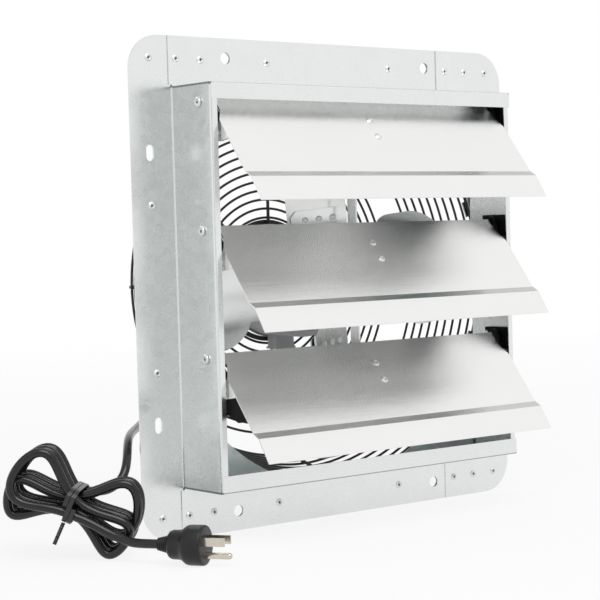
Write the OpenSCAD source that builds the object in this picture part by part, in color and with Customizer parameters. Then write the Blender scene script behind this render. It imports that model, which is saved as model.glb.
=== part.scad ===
/* [Flange] */
// Width and height of the square mounting flange
flange_w = 400; // [390:1:440]
// Width of the flange's strips round the shutter box
strip_w = 40; // [38:0.5:42]
// Radius of the flange's outer corners
flange_corner_r = 28; // [10:1:34]
// Thickness of the galvanised sheet
sheet_t = 0.8; // [0.6:0.1:1.2]
// Distance of the rivets and slots in from the flange's edge
rivet_inset = 18; // [14:0.5:20]
// Distance of the round screw holes in from the flange's edge
hole_inset = 16; // [12:0.5:18]
// Half the spacing of the screw holes along each side
hole_half_spacing = 107.5; // [100:0.5:114]
// Radius of the round screw holes
hole_r = 4.75; // [3:0.25:5]
// Length of the slotted screw holes
slot_len = 13; // [10:0.5:18]
// Width of the slotted screw holes
slot_w = 7; // [5:0.5:8]
// Length of the left and right pieces' corner tabs along the flange
tab_len = 78; // [74:0.5:82]

/* [Box] */
// Depth of the box ahead of the flange
box_depth = 53; // [51:1:60]
// Width of the returns at the left and right front edges
side_return = 6; // [4:0.5:6.5]
// Height of the return along the top front edge
top_return = 13; // [9:0.5:14]
// Height of the return along the bottom front edge
bottom_return = 14; // [10:0.5:15]

/* [Orifice] */
// Thickness of the plate with the round opening
plate_t = 1; // [0.8:0.1:1.5]
// Distance of the plate's edge in from the flange's edge
plate_inset = 7; // [6:0.5:8]
// Distance of the round opening from the plate's edge
orifice_margin = 21; // [20:0.5:25]
// Size of the rivets' shanks
rivet_r = 1.6; // [1.2:0.1:2]
// Radius of the rivets' heads
rivet_head_r = 3.2; // [2.5:0.1:4]

/* [Louvers] */
// Distance of the top pivot below the top of the box
top_pivot_drop = 15; // [14:0.5:17]
// Distance from the bottom louver's tip line to the foot of the box
foot_room = 5; // [4:0.5:8]
// Distance of the pivots behind the front of the box
pivot_setback = 17.2; // [16.5:0.1:18]
// Distance of the louver's ends in from the faces of the box
louver_end_gap = 7.5; // [7:0.25:8.5]
// Thickness of the louver's aluminium sheet
louver_t = 0.8; // [0.6:0.1:1]
// Angle of the louvers from vertical as photographed
louver_rest = 38.5; // [30:0.5:45]
// Distance of the louver's face ahead of its pivot
louver_face = 4; // [3:0.1:5]
// Height of the louver above its pivot
louver_top = 2; // [1:0.5:9]
// How far a louver's tip reaches past the next pivot
louver_lap = 2.7; // [1:0.1:3.2]
// Length of the lip below the ledge
lip_len = 21.7; // [20:0.1:24]
// How far the ledge steps outward
ledge_step = 3; // [2:0.1:4]
// Length of the ledge
ledge_len = 7; // [5:0.5:9]

/* [Linkage] */
// Radius of the link pins' circle about the pivots
link_r = 20.5; // [19:0.1:20.7]
// Angle of the link pins from straight down, to the rear
link_angle = 78; // [72:1:82]
// Width of the tie bar
bar_w = 11; // [9:0.5:12]
// Thickness of the tie bar
bar_t = 1.5; // [1:0.1:2]
// Radius of the link pins
link_pin_r = 2; // [1.5:0.1:2.4]
// Radius of the louvers' pivot pins
pivot_pin_r = 2; // [1.6:0.1:2.6]
// Radial running clearance of the pins
run_gap = 0.06; // [0.03:0.01:0.1]

/* [Fan wheel] */
// Distance from the blades' tips to the round opening's edge
tip_gap = 20; // [16:1:26]
// Turn of the wheel as photographed
wheel_turn = -6; // [-45:1:45]
// Distance of the wheel's spider behind the wall plane
wheel_y = 10; // [9:0.5:14]
// Pitch angle of the blades
blade_pitch = 19; // [14:1:20]
// Radius of the blades' camber
blade_camber_r = 190; // [160:5:300]
// Width of the blades
blade_w = 104; // [96:1:108]
// Thickness of the blades
blade_t = 1.2; // [1:0.1:1.6]
// Radius of the wheel's hub
hub_r = 12; // [10:0.5:14]
// Length of the wheel's hub
hub_len = 16; // [14:0.5:20]

/* [Motor] */
// Outer radius of the motor's shell
motor_r = 49; // [46:0.5:49.5]
// Distance of the motor's front face behind the wall plane
motor_front = 36; // [34:0.5:40]
// Radius of the motor's shaft
shaft_r = 4; // [3:0.1:5]
// Thickness of the motor's shell
shell_t = 1.2; // [1:0.1:1.6]

/* [Guard] */
// Distance from the round opening's edge to the middle of the guard's outer ring
guard_margin = 3; // [2.5:0.1:3.5]
// Depth of the guard's face behind the wall plane
guard_depth = 89.5; // [88:0.5:96]
// How far the guard's side leans inward for each millimetre of depth
side_slope = 0.26; // [0.2:0.01:0.3]
// Radius of the guard's inner ring
guard_inner_r = 52; // [52:0.25:54]
// Distance from ring to ring on the face
ring_pitch = 8; // [7.8:0.1:9]
// Distance from ring to ring down the side
side_pitch = 8; // [7.5:0.1:8.5]
// Radius of the thin ring wires
ring_wire_r = 1.1; // [1:0.1:1.5]
// Radius of the radial wires
spoke_wire_r = 1.5; // [1.3:0.1:2.2]
// Radius of the outer ring's wire
rim_wire_r = 3; // [2.5:0.1:3.2]
// Radius of the inner ring's wire
inner_wire_r = 2.2; // [1.8:0.1:2.4]

/* [Cord] */
// Diameter of the power cord
cord_d = 7; // [6:0.5:7]
// Number of half turns in the tied hank
hank_half_turns = 11; // [7:2:11]
// Length of the hank from lobe to lobe
hank_len = 98; // [92:1:104]
// Rise of each lobe beyond the waist
hank_lobe = 36; // [32:1:40]
// Distance from loop to loop
hank_pitch = 7.9; // [7.9:0.1:8.4]

/* [Hidden] */
$fn = 48;

// Colours as photographed
galvanised = [0.80, 0.82, 0.82];
aluminium = [0.88, 0.88, 0.87];
steel = [0.62, 0.64, 0.66];
black_wire = [0.08, 0.08, 0.09];
black_plastic = [0.06, 0.06, 0.06];
motor_grey = [0.42, 0.43, 0.44];
copper = [0.72, 0.45, 0.20];
nickel = [0.85, 0.80, 0.68];

// Planes along Y: the wall plane is at 0 and the front of the box is negative
near_zero = 0.01;
plate_front = -plate_t;
layer_a = plate_front - sheet_t;
layer_b = layer_a - sheet_t;
box_front = layer_b - box_depth;
half_flange = flange_w / 2;
half_box = half_flange - strip_w;
seam_gap = 0.6;
right_seam = 2;
fold_gap = 0.2;
fold_r = 2;

// Lines that follow the flange's and the plate's edges
rivet_line = half_flange - rivet_inset;
hole_line = half_flange - hole_inset;
tab_end = half_flange - tab_len;
plate_w = flange_w - 2 * plate_inset;
orifice_r = plate_w / 2 - orifice_margin;
wheel_r = orifice_r - tip_gap;
guard_r = orifice_r + guard_margin;

// Places of the rivets along the top and bottom strips
corner_rivets = [rivet_line - 1, rivet_line - 26, rivet_line - 50];
mid_rivet = rivet_line - 116;

// Louver pivots
pivot_y = box_front + pivot_setback;
louver_pitch = (2 * half_box - top_pivot_drop - foot_room) / 3;
pivot_z = [for (k = [0:2]) half_box - top_pivot_drop - k * louver_pitch];
louver_tip = louver_pitch + louver_lap;
louver_panel = louver_tip - lip_len - ledge_len;
half_louver = half_box - louver_end_gap;
wall_inner = half_box - sheet_t;
louver_back = louver_face - louver_t;

// Link pins in the louver's own frame: u runs down the panel, v runs outward
link_y = link_r * sin(link_angle);
link_z = -link_r * cos(link_angle);
link_u = -link_y * sin(louver_rest) - link_z * cos(louver_rest);
link_v = -link_y * cos(louver_rest) + link_z * sin(louver_rest);
web_t = 1.5;
web_x = 5.5;
washer_gap = 0.4;
bar_x = web_x + web_t + washer_gap;

// Motor and shaft
seat_gap = 0.02;
hole_gap = 0.1;
mount_plate_t = 1.5;
mount_plate_rear = guard_depth - spoke_wire_r;
cap_rear = mount_plate_rear - mount_plate_t;
mount_plate_r = guard_inner_r - 2;
mount_screw_r = 38;
mount_hole_r = 2.05;
shaft_hole_r = 7;
gland_at = [-10, -20];
bearing_r = 11;
bearing_w = 7;
cap_split = cap_rear - 14;

// Cord hank: its frame stands at hank_at, its long axis turned by hank_yaw and lowered by hank_lean
cord_r = cord_d / 2;
floor_z = -half_flange;
hank_at = [-264, -8, floor_z + 42];
hank_yaw = -40;
hank_lean = 24;
hank_waist = 5.5;
hank_tilt = 22;
hank_start = 0.25;
hank_end = hank_start + hank_half_turns / 2;
hank_mid = (hank_start + hank_end) / 2;
hank_rings = 24;

// A flat profile in the XZ plane, from y_low to y_high
module slab(y_low, y_high) {
    translate([0, y_high, 0]) rotate([90, 0, 0]) linear_extrude(y_high - y_low) children();
}

// A profile in the YZ plane, from x_low to x_high
module sweep_x(x_low, x_high) {
    translate([x_low, 0, 0]) rotate([90, 0, 90]) linear_extrude(x_high - x_low) children();
}

// A profile of radius and depth, turned about the Y axis
module turn_y() {
    rotate([-90, 0, 0]) rotate_extrude($fn = 96) children();
}

// A cylinder along Y
module rod_y(y_low, y_high, r) {
    translate([0, y_low, 0]) rotate([-90, 0, 0]) cylinder(h = y_high - y_low, r = r);
}

// A cylinder along X
module rod_x(x_low, x_high, r) {
    translate([x_low, 0, 0]) rotate([0, 90, 0]) cylinder(h = x_high - x_low, r = r);
}

// The flange's outline with rounded corners
module flange_outline() {
    inner = half_flange - flange_corner_r;
    square([flange_w, 2 * inner], center = true);
    square([2 * inner, flange_w], center = true);
    for (sx = [-1, 1], sz = [-1, 1]) translate([sx * inner, sz * inner]) circle(flange_corner_r);
}

// The screw holes and slots that pass through flange and plate
module screw_holes() {
    for (sx = [-1, 1], sz = [-1, 1]) translate([sx * hole_half_spacing, sz * hole_line]) circle(hole_r);
    for (sx = [-1, 1], sz = [-1, 1]) translate([sx * rivet_line, sz * hole_half_spacing]) {
        square([slot_w, slot_len - slot_w], center = true);
        for (e = [-1, 1]) translate([0, e * (slot_len - slot_w) / 2]) circle(slot_w / 2);
    }
}

// Where the rivets of the flange stand
function flange_rivets() = concat(
    [for (sx = [-1, 1], sz = [-1, 1], x = corner_rivets) [sx * x, sz * rivet_line]],
    [for (sx = [-1, 1], sz = [-1, 1]) [sx * mid_rivet, sz * rivet_line]],
    [for (sx = [-1, 1], sz = [-1, 1]) [sx * rivet_line, sz * mid_rivet]]
);

module rivet_holes() {
    for (p = flange_rivets()) translate(p) circle(rivet_r);
}

// A quarter ring that turns a fold between two sheets, centred on its bend
module fold(turn) {
    rotate(turn) difference() {
        intersection() {
            circle(fold_r);
            square(fold_r);
        }
        circle(fold_r - sheet_t);
    }
}

// Side piece of the frame, drawn for the left: flange strip, box wall and front return
module side_piece(front) {
    wall_top = half_box - sheet_t - fold_gap;
    return_top = half_box - fold_r - fold_gap;
    tab_low = half_box + fold_r - sheet_t + seam_gap;
    strip_rear = front + sheet_t;
    return_front = box_front + sheet_t;
    slab(front, strip_rear) difference() {
        intersection() {
            flange_outline();
            union() {
                translate([-half_flange, -half_flange])
                    square([half_flange - half_box - fold_r + sheet_t, flange_w]);
                for (s = [-1, 1])
                    translate([-(half_flange + tab_end) / 2, s * (half_flange + tab_low) / 2])
                        square([half_flange - tab_end, half_flange - tab_low], center = true);
            }
        }
        screw_holes();
        rivet_holes();
    }
    difference() {
        translate([0, 0, -wall_top]) linear_extrude(2 * wall_top) {
            translate([-half_box, return_front + fold_r])
                square([sheet_t, strip_rear - fold_r - return_front - fold_r]);
            translate([-half_box - fold_r + sheet_t, strip_rear - fold_r]) fold(0);
        }
        for (z = pivot_z) translate([0, pivot_y, z])
            rod_x(-half_box - 1, -wall_inner + 1, boss_r + boss_gap);
    }
    translate([0, 0, -return_top]) linear_extrude(2 * return_top) {
        translate([-half_box + fold_r, return_front + fold_r]) fold(180);
        translate([-half_box + fold_r, return_front]) square([side_return - fold_r, sheet_t]);
    }
}

// Top or bottom piece of the frame, drawn for the top; its right end steps back under the side piece's tab
step_end = half_box + 5;
step_w = 2;
left_end = half_box + 3;
module cross_piece(front_return) {
    strip_rear = layer_b + sheet_t;
    strip_low = half_box + fold_r - sheet_t;
    strip_end = tab_end - right_seam;
    step_low = strip_low + seam_gap;
    slab(layer_b, strip_rear) difference() {
        intersection() {
            flange_outline();
            translate([-left_end, strip_low]) square([left_end + strip_end, half_flange - strip_low]);
        }
        screw_holes();
        rivet_holes();
    }
    slab(layer_a, layer_a + sheet_t) difference() {
        translate([strip_end - step_w, step_low])
            square([step_end - strip_end + step_w, half_flange - step_low]);
        rivet_holes();
    }
    sweep_x(strip_end - step_w, strip_end)
        translate([layer_b, step_low]) square([2 * sheet_t, half_flange - step_low]);
    sweep_x(-half_box, half_box) {
        translate([box_front + fold_r, half_box - sheet_t])
            square([strip_rear - fold_r - box_front - fold_r, sheet_t]);
        translate([box_front + fold_r, half_box - fold_r]) fold(90);
        translate([box_front, half_box - front_return]) square([sheet_t, front_return - fold_r]);
        translate([strip_rear - fold_r, half_box + fold_r - sheet_t]) fold(270);
    }
}

module frame_left() {
    color(galvanised) side_piece(layer_a);
}

module frame_right() {
    color(galvanised) mirror([1, 0, 0]) side_piece(layer_b);
}

module frame_top() {
    color(galvanised) cross_piece(top_return);
}

module frame_bottom() {
    color(galvanised) mirror([0, 0, 1]) cross_piece(bottom_return);
}

module orifice_plate() {
    corner_cut = 1.36;
    color(galvanised) slab(plate_front, 0) difference() {
        intersection() {
            square(plate_w, center = true);
            rotate(45) square(plate_w * corner_cut, center = true);
        }
        circle(orifice_r, $fn = 96);
        screw_holes();
        rivet_holes();
    }
}

module frame_rivets() {
    head_t = 1.1;
    tail_t = 0.9;
    color(steel) for (p = flange_rivets()) {
        clipped = abs(abs(p[0]) - mid_rivet) < 1 || abs(abs(p[1]) - mid_rivet) < 1;
        front = p[0] < -half_box ? layer_a : layer_b;
        rear = clipped ? clip_t : 0;
        translate([p[0], 0, p[1]]) {
            rod_y(front - near_zero, rear + near_zero, rivet_r);
            rod_y(front - head_t, front, rivet_head_r);
            rod_y(rear, rear + tail_t, rivet_head_r - 0.8);
        }
    }
}

// Clips that hold the guard's rim against the plate
clip_t = 1.2;
clip_w = 14;
module guard_clip() {
    foot_r = norm([rivet_line, mid_rivet]);
    rim_out = guard_r + rim_wire_r + 0.6;
    rim_top = 2 * rim_wire_r;
    difference() {
        sweep_x(-clip_w / 2, clip_w / 2) polygon([
            [0, foot_r + 5], [clip_t, foot_r + 5], [clip_t, rim_out + clip_t],
            [rim_top + clip_t, rim_out + clip_t], [rim_top + clip_t, guard_r - 4],
            [rim_top, guard_r - 4], [rim_top, rim_out], [0, rim_out]
        ]);
        translate([0, 0, foot_r]) rod_y(-1, clip_t + 1, rivet_r + seat_gap);
    }
}

module guard_clips() {
    lean = atan2(mid_rivet, rivet_line);
    color(steel) for (q = [0:3], s = [-1, 1]) rotate([0, 90 * q + s * lean, 0]) guard_clip();
}

// Guard: rim, side rings on a cone, face rings and bent spokes, seated where they are welded
spoke_n = 8;
spoke_sides = 8;
spoke_bend_r = 9;
weld_gap = 0.05;
spoke_flat = spoke_wire_r * cos(180 / spoke_sides);
ring_seat = spoke_flat + ring_wire_r + weld_gap;
side_angle = atan(side_slope);
corner_r = side_radius(guard_depth);
side_ring_n = floor((guard_depth - spoke_bend_r - 2 * rim_wire_r) / side_pitch);
face_ring_n = floor((corner_r - spoke_bend_r - guard_inner_r) / ring_pitch + 0.5);
function side_radius(y) = guard_r - rim_wire_r - spoke_flat - weld_gap - side_slope * (y - rim_wire_r);

module ring(r, y, wire_r) {
    turn_y() translate([r, y]) circle(wire_r, $fn = 24);
}

module guard_rim() {
    color(black_wire) ring(guard_r, rim_wire_r, rim_wire_r);
}

module guard_side_rings() {
    color(black_wire) for (k = [1:side_ring_n]) {
        y = 2 * rim_wire_r + (k - 0.5) * side_pitch;
        ring(side_radius(y) + ring_seat / cos(side_angle), y, ring_wire_r);
    }
}

module guard_face_rings() {
    color(black_wire) {
        ring(guard_inner_r, guard_depth + spoke_flat + inner_wire_r + weld_gap, inner_wire_r);
        for (k = [1:face_ring_n])
            ring(guard_inner_r + (k - 0.5) * ring_pitch, guard_depth + ring_seat, ring_wire_r);
    }
}

// One spoke runs out from the motor's plate, bends over the corner and down the side to the rim
function spoke_path() = let (
    turn = 90 - side_angle,
    reach = spoke_bend_r * tan(turn / 2)
) concat(
    [[0, guard_depth, mount_plate_r - 12]],
    [for (i = [0:6]) let (a = turn * i / 6)
        [0, guard_depth - spoke_bend_r * (1 - cos(a)), corner_r - reach + spoke_bend_r * sin(a)]],
    [[0, rim_wire_r, side_radius(rim_wire_r)]]
);

module guard_spokes() {
    color(black_wire) for (k = [0:spoke_n - 1]) rotate([0, 360 * k / spoke_n, 0])
        tube(spoke_path(), spoke_wire_r, spoke_sides);
}

module motor_mount_plate() {
    color(galvanised) difference() {
        rod_y(cap_rear, mount_plate_rear, mount_plate_r);
        mount_screw_places() rod_y(cap_rear - 1, mount_plate_rear + 1, mount_hole_r);
        gland_place() rod_y(cap_rear - 1, mount_plate_rear + 1, gland_neck_r + hole_gap);
        rod_y(cap_rear - 1, mount_plate_rear + 1, shaft_hole_r);
    }
}

module mount_screw_places() {
    for (k = [0:3]) rotate([0, 22.5 + 90 * k, 0]) translate([0, 0, mount_screw_r]) children();
}

module gland_place() {
    translate([gland_at[0], 0, gland_at[1]]) children();
}

module motor_mount_screws() {
    screw_r = 2;
    head_t = 2.4;
    cross_l = 5.2;
    cross_w = 1;
    cross_deep = 1;
    cross_y = mount_plate_rear + head_t - cross_deep;
    color(steel) mount_screw_places() {
        rod_y(cap_rear - 8, mount_plate_rear, screw_r);
        difference() {
            rod_y(mount_plate_rear, mount_plate_rear + head_t, 2 * screw_r);
            translate([-cross_l / 2, cross_y, -cross_w / 2]) cube([cross_l, 2 * cross_deep, cross_w]);
            translate([-cross_w / 2, cross_y, -cross_l / 2]) cube([cross_w, 2 * cross_deep, cross_l]);
        }
    }
}

// Motor shell: a drawn cup with a bearing seat and cooling slots in its face
module motor_shell() {
    seat_r = bearing_r + seat_gap;
    color(motor_grey) difference() {
        turn_y() polygon([
            [shaft_r + 2, motor_front - 6], [seat_r + shell_t, motor_front - 6],
            [seat_r + shell_t, motor_front], [motor_r - 5, motor_front],
            [motor_r, motor_front + 5], [motor_r, cap_split],
            [motor_r - shell_t, cap_split], [motor_r - shell_t, motor_front + 5.5],
            [motor_r - 5.5, motor_front + shell_t], [seat_r, motor_front + shell_t],
            [seat_r, motor_front - 6 + shell_t], [shaft_r + 2, motor_front - 6 + shell_t]
        ]);
        for (k = [0:11]) rotate([0, 30 * k, 0])
            translate([0, 0, motor_r - 19]) cooling_slot(motor_front - 1, motor_front + 2);
    }
}

module cooling_slot(y_low, y_high) {
    half_l = 6;
    slot_r = 2.5;
    slab(y_low, y_high) {
        square([2 * slot_r, 2 * half_l], center = true);
        for (e = [-1, 1]) translate([0, half_l * e]) circle(slot_r);
    }
}

module motor_rear_cap() {
    seat_r = bearing_r + seat_gap;
    lip = 4;
    color(motor_grey) difference() {
        turn_y() polygon([
            [seat_r, cap_rear - bearing_w - 1], [seat_r + 2, cap_rear - bearing_w - 1],
            [seat_r + 2, cap_rear - 2], [motor_r - 3.2, cap_rear - 2],
            [motor_r - shell_t - 1, cap_rear - 5], [motor_r - shell_t - 1, cap_split - lip],
            [motor_r - shell_t - near_zero, cap_split - lip], [motor_r - shell_t - near_zero, cap_split],
            [motor_r, cap_split], [motor_r, cap_rear - 3], [motor_r - 3, cap_rear],
            [shaft_r + 3, cap_rear], [shaft_r + 3, cap_rear - 1], [seat_r, cap_rear - 1]
        ]);
        mount_screw_places() rod_y(cap_rear - 3, cap_rear + 1, mount_hole_r);
        gland_place() rod_y(cap_rear - 3, cap_rear + 1, gland_neck_r + hole_gap);
    }
}

stator_low = motor_front + 12;
stator_high = cap_split - 6;
rotor_r = 26;
rotor_gap = 0.5;
module motor_stator() {
    stator_bore = rotor_r + rotor_gap;
    color(steel) turn_y() translate([stator_bore, stator_low])
        square([motor_r - shell_t - near_zero - stator_bore, stator_high - stator_low]);
}

module motor_windings() {
    coil_r = rotor_r + 8;
    coil_w = 9;
    coil_h = 5;
    color(copper) turn_y() for (y = [stator_low - coil_h, stator_high]) translate([coil_r, y])
        square([coil_w, coil_h]);
}

// Wiring box that hangs under the motor's rear edge on a saddle turned to the motor's radius
module terminal_box() {
    half_w = 9.5;
    wall = 1.5;
    lid_t = 2;
    lid_edge = 1;
    box_low = -motor_r - 11;
    box_from = cap_rear - 17;
    box_deep = 13;
    color(motor_grey) difference() {
        union() {
            translate([-half_w, box_from, box_low + lid_t])
                cube([2 * half_w, box_deep, 8 - box_low - motor_r]);
            translate([-half_w - lid_edge, box_from - lid_edge, box_low])
                cube([2 * (half_w + lid_edge), box_deep + 2 * lid_edge, lid_t]);
        }
        rod_y(box_from - 3, box_from + box_deep + 3, motor_r + seat_gap);
        translate([wall - half_w, box_from + wall, box_low + lid_t + near_zero])
            cube([2 * (half_w - wall), box_deep - 2 * wall, -box_low - motor_r]);
    }
}

module motor_bearings() {
    front = motor_front - 6 + shell_t;
    color(steel) turn_y() {
        for (y = [front, cap_rear - 1 - bearing_w]) translate([shaft_r + run_gap, y])
            square([bearing_r - shaft_r - run_gap, bearing_w]);
    }
}

module motor_shaft() {
    front = wheel_y - 3;
    color(steel) turn_y() polygon([
        [0, front], [shaft_r - 0.6, front], [shaft_r, front + 0.6],
        [shaft_r, cap_rear - 2], [0, cap_rear - 2]
    ]);
}

module rotor_core() {
    color(steel) turn_y() translate([shaft_r, stator_low])
        square([rotor_r - shaft_r, stator_high - stator_low]);
}

hub_front = wheel_y - 2;
hub_neck_r = hub_r - 4;
spider_t = 2;
module wheel_hub() {
    color(steel) difference() {
        turn_y() polygon([
            [shaft_r, hub_front], [hub_neck_r, hub_front], [hub_neck_r, wheel_y + spider_t],
            [hub_r, wheel_y + spider_t], [hub_r, hub_front + hub_len], [shaft_r, hub_front + hub_len]
        ]);
        translate([0, hub_front + hub_len - 6, 0]) cylinder(h = hub_r + 1, r = 2);
    }
}

module hub_set_screw() {
    color(steel) translate([0, hub_front + hub_len - 6, shaft_r]) difference() {
        cylinder(h = hub_r - shaft_r - 0.5, r = 2);
        translate([0, 0, hub_r - shaft_r - 2.5]) cylinder(h = 3, r = 1.2, $fn = 6);
    }
}

// Spider: a pressed centre disc with a ridge round it and four arms set at the blades' pitch
spider_disc_r = 30;
ridge_r = 3;
ridge_at = spider_disc_r - 2 * ridge_r - 3;
arm_w = 50;
arm_neck = 24;
arm_out = 62;
rivet_reach = 53;
rivet_pitch = 12.6;
module arm_frame(k) {
    rotate([0, 90 * k + wheel_turn, 0]) translate([0, wheel_y, 0]) rotate([0, 0, -blade_pitch])
        children();
}

module wheel_spider() {
    color(aluminium) difference() {
        union() {
            rod_y(wheel_y, wheel_y + spider_t, spider_disc_r);
            difference() {
                turn_y() translate([ridge_at, wheel_y]) circle(ridge_r);
                turn_y() translate([ridge_at, wheel_y]) circle(ridge_r - spider_t + 0.6);
                rod_y(wheel_y + spider_t, wheel_y + 2 * ridge_r, spider_disc_r);
            }
            for (k = [0:3]) arm_frame(k) slab(0, spider_t) {
                translate([-arm_neck / 2, spider_disc_r - 8]) square([arm_neck, 20]);
                polygon([
                    [-arm_neck / 2, spider_disc_r + 3], [arm_neck / 2, spider_disc_r + 3],
                    [arm_w / 2, arm_out - 18], [arm_w / 2, arm_out - 5], [arm_w / 2 - 5, arm_out],
                    [5 - arm_w / 2, arm_out], [-arm_w / 2, arm_out - 5], [-arm_w / 2, arm_out - 18]
                ]);
            }
        }
        rod_y(wheel_y - 4, wheel_y + 10, hub_neck_r + seat_gap);
        for (k = [0:3]) arm_frame(k) blade_rivet_places() rod_y(-3, 5, rivet_r + seat_gap);
    }
}

module blade_rivet_places() {
    for (s = [-1:1]) translate([s * rivet_pitch, 0, rivet_reach]) children();
}

// Blade: a cambered sheet on a narrow root, riveted to the arm's rear face, with rounded shoulders and tip
blade_root = 45;
blade_neck = 74;
blade_shoulder_r = 25;
blade_root_corner = 6;
blade_tip_corner = 30;
module blade_outline() {
    half = blade_w / 2;
    root_half = half - blade_shoulder_r;
    body_low = blade_neck + blade_shoulder_r;
    body_high = wheel_r - blade_tip_corner;
    intersection() {
        circle(wheel_r, $fn = 96);
        union() {
            translate([-half, body_low]) square([blade_w, body_high - body_low]);
            translate([-root_half, blade_root + blade_root_corner])
                square([2 * root_half, body_low - blade_root - blade_root_corner]);
            translate([blade_root_corner - root_half, blade_root])
                square([2 * (root_half - blade_root_corner), 2 * blade_root_corner]);
            translate([blade_tip_corner - half, body_high])
                square([blade_w - 2 * blade_tip_corner, blade_tip_corner]);
            for (s = [-1, 1]) {
                translate([s * (root_half - blade_root_corner), blade_root + blade_root_corner])
                    circle(blade_root_corner);
                translate([s * root_half, body_low]) circle(blade_shoulder_r);
                translate([s * (half - blade_tip_corner), body_high]) circle(blade_tip_corner);
            }
        }
    }
}

module blade(k) {
    color(aluminium) arm_frame(k) difference() {
        intersection() {
            slab(-30, 30) blade_outline();
            translate([0, spider_t, 0]) camber(blade_camber_r);
        }
        blade_rivet_places() rod_y(-3, 5, rivet_r + seat_gap);
    }
}

// A thin shell with its axis along the blade, touching the arm's plane at its middle
module camber(r) {
    translate([0, r, 0]) difference() {
        cylinder(h = wheel_r + 10, r = r, $fn = 128);
        translate([0, 0, -1]) cylinder(h = wheel_r + 12, r = r - blade_t, $fn = 128);
    }
}

module blade_1() {
    blade(0);
}

module blade_2() {
    blade(1);
}

module blade_3() {
    blade(2);
}

module blade_4() {
    blade(3);
}

module blade_rivets() {
    head_t = 1.2;
    tail_lift = rivet_pitch * rivet_pitch / (2 * blade_camber_r) + blade_t + 0.3;
    color(steel) for (k = [0:3]) arm_frame(k) blade_rivet_places() {
        rod_y(-near_zero, spider_t + tail_lift + head_t, rivet_r);
        rod_y(-head_t, 0, rivet_head_r);
        rod_y(spider_t + tail_lift, spider_t + tail_lift + head_t, rivet_head_r - 0.8);
    }
}

// Louver k in its own frame at rest: children are drawn hanging straight down
module louver_frame(k) {
    translate([0, pivot_y, pivot_z[k]]) rotate([-louver_rest, 0, 0]) children();
}

// A point of the louver's profile from u down the panel and v outward
function uv(u, v) = [-v, -u];

module louver_profile() {
    ledge_end = louver_panel + ledge_len;
    outer = [
        uv(-louver_top, louver_face), uv(louver_panel, louver_face),
        uv(ledge_end, louver_face + ledge_step), uv(louver_tip, louver_face + ledge_step - 1.9)
    ];
    shift = [louver_t, 0];
    polygon(concat(outer, [for (i = [3:-1:0]) outer[i] + shift]));
}

notch_w = 5.5;
notch_low = 11;
notch_end = 22;
tab_low = 40;
tab_deep = 14;
module louver(k) {
    side_x = half_louver;
    color(aluminium) louver_frame(k) {
        difference() {
            sweep_x(-side_x, side_x) louver_profile();
            for (s = [-1, 1]) slab(-20, 20) polygon([
                [s * (side_x - notch_w), louver_top + 1], [s * (side_x - notch_w), -notch_low],
                [s * (side_x + 0.01), -notch_end], [s * (side_x + 2), -notch_end],
                [s * (side_x + 2), louver_top + 1]
            ]);
            bracket_rivet_places() rod_y(-louver_face - 1, 2, rivet_r);
        }
        for (s = [-1, 1]) difference() {
            sweep_x(s > 0 ? side_x - louver_t : -side_x, s > 0 ? side_x : -side_x + louver_t) polygon([
                uv(notch_end, louver_back + 0.2), uv(tab_low, louver_back + 0.2),
                uv(tab_low - 10, -tab_deep), uv(notch_end, -tab_deep)
            ]);
            arm_rivet_places() rod_x(-side_x - 2, side_x + 2, rivet_r);
        }
    }
}

module bracket_rivet_places() {
    for (u = [foot_from + rivet_in, foot_to - rivet_in]) translate([0, 0, -u]) children();
}

arm_rivet = uv(27, -6);
module arm_rivet_places() {
    translate([0, arm_rivet[0], arm_rivet[1]]) children();
}

module louver_1() {
    louver(0);
}

module louver_2() {
    louver(1);
}

module louver_3() {
    louver(2);
}

// Plastic end arms with the pivot pins, one at each end of the louver
arm_t = 2.5;
bearing_t = 4;
bearing_gap = 0.3;
boss_r = 3.4;
boss_gap = 0.05;
module louver_arm() {
    outer_x = -half_louver + louver_t;
    difference() {
        union() {
            sweep_x(outer_x, outer_x + arm_t) {
                circle(7);
                polygon([
                    uv(0, -7), uv(4, -9), uv(24, -21), uv(40, -21), uv(44, -15), uv(56, -8),
                    uv(60, -1), uv(61, louver_back), uv(10, louver_back), uv(2, 6.6)
                ]);
            }
            rod_x(-wall_inner + bearing_t + bearing_gap, outer_x, 4);
            rod_x(-half_box - 0.2, outer_x, pivot_pin_r);
        }
        arm_rivet_places() rod_x(outer_x - 1, outer_x + arm_t + 1, rivet_r);
    }
}

module louver_arms(k) {
    color(black_plastic) louver_frame(k) for (m = [0, 1]) mirror([m, 0, 0]) louver_arm();
}

module louver_1_arms() {
    louver_arms(0);
}

module louver_2_arms() {
    louver_arms(1);
}

module louver_3_arms() {
    louver_arms(2);
}

// Link bracket: a riveted foot with a web that reaches back to the link pin
foot_t = 1.5;
foot_from = 12;
foot_to = 44;
rivet_in = 7.5;
module link_bracket(k) {
    foot_back = louver_back - foot_t;
    color(galvanised) louver_frame(k) difference() {
        union() {
            sweep_x(-web_x - web_t, web_x + web_t) polygon([
                uv(foot_from, foot_back), uv(foot_to, foot_back),
                uv(foot_to, louver_back), uv(foot_from, louver_back)
            ]);
            sweep_x(web_x, web_x + web_t) {
                polygon([
                    uv(foot_from, louver_back), uv(foot_to, louver_back), uv(foot_to, foot_back - 2),
                    uv(link_u + 3.5, link_v - 4.9), uv(link_u - 4.2, link_v + 4.3)
                ]);
                translate(uv(link_u, link_v)) circle(6);
            }
        }
        bracket_rivet_places() rod_y(-louver_face - 1, 2, rivet_r);
        link_place() rod_x(web_x - 1, web_x + web_t + 1, link_pin_r);
    }
}

module link_place() {
    translate([0, uv(link_u, link_v)[0], uv(link_u, link_v)[1]]) children();
}

module louver_1_link_bracket() {
    link_bracket(0);
}

module louver_2_link_bracket() {
    link_bracket(1);
}

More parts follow.
